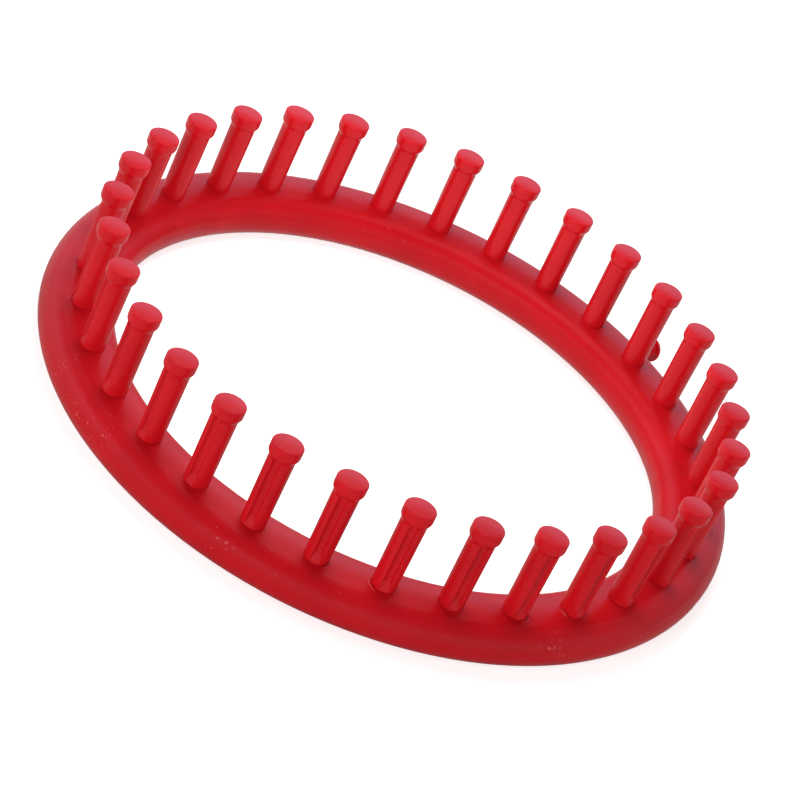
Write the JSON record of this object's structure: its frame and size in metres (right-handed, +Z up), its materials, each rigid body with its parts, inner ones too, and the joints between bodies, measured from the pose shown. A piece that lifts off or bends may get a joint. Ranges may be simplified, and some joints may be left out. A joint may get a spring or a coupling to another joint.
{
  "type": "round knitting loom",
  "caption": "Round hand-knitting loom: an oval-section plastic hoop with pressed-in upright pegs, each with a round head and an outward hook groove, and one side anchor peg.",
  "frame": {"origin": "centre of the ring, on the plane that the loom rests on", "axes": "+Z up along the pegs, the ring's axis; the anchor peg points midway between +X and +Y"},
  "size_m": [0.19, 0.19, 0.0361],
  "materials": {
    "ring_plastic": "injection-moulded polypropylene, satin",
    "peg_plastic": "injection-moulded polypropylene, satin"
  },
  "bodies": {
    "root": {"ring": "ring_plastic", "peg_01": "peg_plastic", "peg_02": "peg_plastic", "peg_03": "peg_plastic", "peg_04": "peg_plastic", "peg_05": "peg_plastic", "peg_06": "peg_plastic", "peg_07": "peg_plastic", "peg_08": "peg_plastic", "peg_09": "peg_plastic", "peg_10": "peg_plastic", "peg_11": "peg_plastic", "peg_12": "peg_plastic", "peg_13": "peg_plastic", "peg_14": "peg_plastic", "peg_15": "peg_plastic", "peg_16": "peg_plastic", "peg_17": "peg_plastic", "peg_18": "peg_plastic", "peg_19": "peg_plastic", "peg_20": "peg_plastic", "peg_21": "peg_plastic", "peg_22": "peg_plastic", "peg_23": "peg_plastic", "peg_24": "peg_plastic", "peg_25": "peg_plastic", "peg_26": "peg_plastic", "peg_27": "peg_plastic", "peg_28": "peg_plastic", "peg_29": "peg_plastic", "peg_30": "peg_plastic", "peg_31": "peg_plastic", "anchor_peg": "peg_plastic"}
  },
  "joints": []
}
